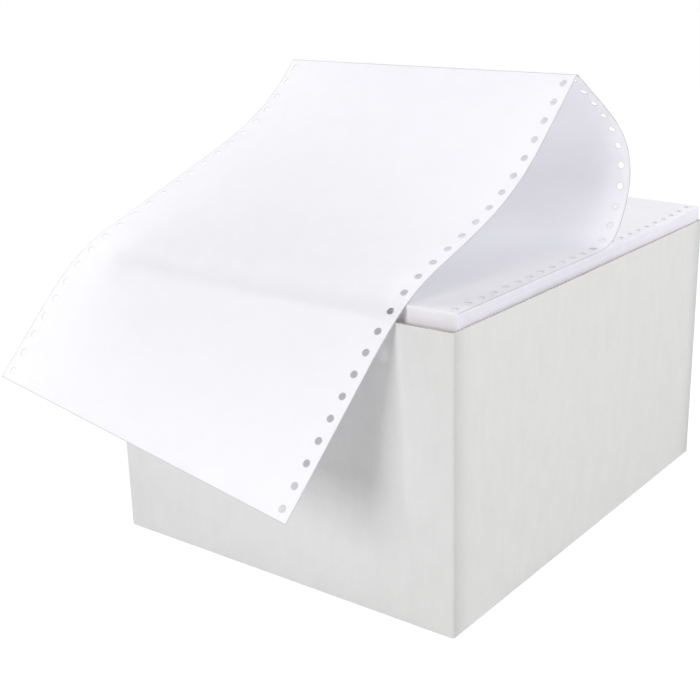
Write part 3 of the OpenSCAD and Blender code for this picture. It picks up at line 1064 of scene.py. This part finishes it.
class FORMPAPER_OT_carton_flaps(Operator):
    """Makes the four bottom flaps and the glued tab in the rear left corner"""
    bl_idname = "formpaper.carton_flaps"
    bl_label = "Bottom flaps and corner tab"

    def execute(self, context):
        c = carton()
        t = c.board_t
        white, brown, cut = board_finishes()
        width, depth = outer_size()
        half_in, inner_l = inner_size()[0] / 2, inner_size()[1]
        seam_low, seam_high = c.seam_offset - c.flap_seam / 2, c.seam_offset + c.flap_seam / 2
        gap = max(depth - width, c.flap_seam) / 2
        end, near_end = depth / 2 - c.flap_short, depth / 2 - FLAP_SHORT
        for name, low, high, across, thin in (
                ("flap_left", (-width / 2, -end, 0), (seam_low, end, t), 1, 2),
                ("flap_right", (seam_high, -end, 0), (width / 2, end, t), 1, 2),
                ("flap_front", (-half_in, -near_end, t), (half_in, -gap, 2 * t), 0, 2),
                ("flap_rear", (-half_in, gap, t), (half_in, near_end, 2 * t), 0, 2),
                ("corner_tab", (-half_in, inner_l / 2 - c.tab_w, floor_z()),
                 (-half_in + t, inner_l / 2, carton_h() - c.tab_drop), 1, 0)):
            parts, wave = board_panel("carton_" + name, low, high, across, thin)
            side = {"flap_left": -1, "flap_right": 1}.get(name)
            if side:
                open_mesh(parts[0], "EDGE")
                pick(parts[0], "edges", lambda e: all(v.co.z < TOUCH and v.co.x * side > width / 2 - TOUCH
                                                      for v in e.verts))
                bpy.ops.mesh.bevel(offset=0.9 * c.liner_t, segments=4, affect="EDGES")
                close_mesh()
            for part, face in zip(parts, (white if thin == 2 else brown, brown)):
                part.data.materials.append(face)
                part.data.materials.append(cut)
                paint(part, 1, lambda f: abs(f.normal[thin]) < UPRIGHT
                      and abs(f.center.x) < width / 2 - FLAP_FOLD)
            wave.data.materials.append(cut)
            piece = joined(*parts, wave)
            piece.name = piece.data.name = "carton_" + name
            smooth(piece)
            finished(piece, [], "carton")
        return {"FINISHED"}


# ---- Stage ----

def add_backdrop(tree, plain, white, part, output):
    """Shows white to the camera, to reflections and to light inside the paper, and leaves the rest plain."""
    path = tree.nodes.new("ShaderNodeLightPath")
    direct = reckon(tree, "MAXIMUM", path.outputs["Is Camera Ray"], path.outputs["Is Glossy Ray"])
    seen = reckon(tree, "MAXIMUM", direct, path.outputs["Is Transmission Ray"])
    mixed_shader(tree, plain, white, reckon(tree, "MULTIPLY", seen, part), output)


def towards(side, height):
    """The direction at an angle from the front towards the right, and at a height above the horizon."""
    return Vector((math.sin(side) * math.cos(height), -math.cos(side) * math.cos(height), math.sin(height)))


def add_softbox(name, side, height, away, size, power):
    """A square or upright soft light that faces the object. side and height are in degrees."""
    place = LAMP_AIM + away * towards(math.radians(side), math.radians(height))
    deselect()
    bpy.ops.object.light_add(type="AREA", location=place)
    lamp = bpy.context.object
    lamp.name = name
    lamp.data.shape = "RECTANGLE"
    lamp.data.size, lamp.data.size_y = size
    lamp.data.energy = power
    lamp.rotation_euler = (LAMP_AIM - place).to_track_quat("-Z", "Y").to_euler()


class FORMPAPER_OT_stage(Operator):
    """Makes the floor, the lights and the camera"""
    bl_idname = "formpaper.stage"
    bl_label = "Floor, lights and camera"

    def execute(self, context):
        settings = context.scene.form_stage
        deselect()
        bpy.ops.mesh.primitive_grid_add(x_subdivisions=2, y_subdivisions=2, size=FLOOR_SIZE)
        ground = named("floor")
        fixed_place()
        material, tree, shader = new_material("pale floor", FLOOR_COLOUR, roughness=0.9, specular=0.1)
        white = tree.nodes.new("ShaderNodeEmission")
        white.inputs["Color"].default_value = (1, 1, 1, 1)
        white.inputs["Strength"].default_value = FLOOR_WHITE
        add_backdrop(tree, shader.outputs["BSDF"], white.outputs["Emission"], FLOOR_PART, "Material Output")
        ground.data.materials.append(material)

        world = bpy.data.worlds.new("studio")
        context.scene.world = world
        world.use_nodes = True
        tree = world.node_tree
        plain = tree.nodes["Background"]
        plain.inputs["Color"].default_value = (*SKY_COLOUR, 1)
        plain.inputs["Strength"].default_value = settings.sky
        white = tree.nodes.new("ShaderNodeBackground")
        white.inputs["Color"].default_value = (1, 1, 1, 1)
        white.inputs["Strength"].default_value = 1.0
        add_backdrop(tree, plain.outputs["Background"], white.outputs["Background"], 1.0, "World Output")

        add_softbox("key softbox", -2.5, 18.8, 2.2, (0.8, 1.1), settings.key_light)
        add_softbox("side softbox", 97, 32, 2.0, (0.9, 0.9), settings.side_light)
        add_softbox("edge softbox", 60, 15, 2.0, (0.9, 0.9), settings.edge_light)
        add_softbox("fill softbox", -90, 20, 2.0, (0.9, 0.9), settings.fill_light)
        add_softbox("back softbox", 180, 25, 2.2, (1.2, 1.2), settings.back_light)

        back = towards(settings.azimuth, settings.elevation)
        level = (-back).cross(Vector((0, 0, 1))).normalized()
        down = (-back).cross(level)
        roll = settings.roll
        right = math.cos(roll) * level + math.sin(roll) * down
        low = -math.sin(roll) * level + math.cos(roll) * down
        turn = Matrix((right, -low, back)).transposed().to_4x4()
        deselect()
        bpy.ops.object.camera_add()
        camera = bpy.context.object
        camera.name = "camera"
        camera.matrix_world = Matrix.Translation(Vector(settings.camera_at)) @ turn
        camera.data.sensor_width = 36
        camera.data.sensor_fit = "HORIZONTAL"
        camera.data.lens = settings.lens
        camera.data.clip_start = 0.02
        camera.data.clip_end = 200
        context.scene.camera = camera
        context.scene.view_settings.view_transform = "Standard"
        return {"FINISHED"}


OPERATORS = (FORMPAPER_OT_stage, FORMPAPER_OT_raised_leaves, FORMPAPER_OT_top_leaf,
             FORMPAPER_OT_folded_stack, FORMPAPER_OT_carton_walls, FORMPAPER_OT_carton_flaps)
GROUPS = (("form_paper_sizes", PaperSizes), ("form_stack_sizes", StackSizes),
          ("form_carton_sizes", CartonSizes), ("form_finishes", Finishes), ("form_stage", StageSettings))


class FORMPAPER_PT_panel(Panel):
    """Lists the pieces, their sizes and their colours"""
    bl_idname = "FORMPAPER_PT_panel"
    bl_label = "Form Paper"
    bl_space_type = "VIEW_3D"
    bl_region_type = "UI"
    bl_category = "Form Paper"

    def draw(self, context):
        for operator in OPERATORS:
            self.layout.operator(operator.bl_idname)
        for name, group in GROUPS:
            box = self.layout.box()
            settings = getattr(context.scene, name)
            for key in group.__annotations__:
                box.prop(settings, key)


def register():
    for name, group in GROUPS:
        bpy.utils.register_class(group)
        setattr(bpy.types.Scene, name, PointerProperty(type=group))
    for part in (*OPERATORS, FORMPAPER_PT_panel):
        bpy.utils.register_class(part)


def unregister():
    for part in reversed((*OPERATORS, FORMPAPER_PT_panel)):
        bpy.utils.unregister_class(part)
    for name, group in reversed(GROUPS):
        delattr(bpy.types.Scene, name)
        bpy.utils.unregister_class(group)


def main():
    register()
    bpy.ops.formpaper.stage()
    bpy.ops.formpaper.raised_leaves()
    bpy.ops.formpaper.top_leaf()
    bpy.ops.formpaper.folded_stack()
    bpy.ops.formpaper.carton_walls()
    bpy.ops.formpaper.carton_flaps()
    deselect()


if __name__ == "__main__":
    main()
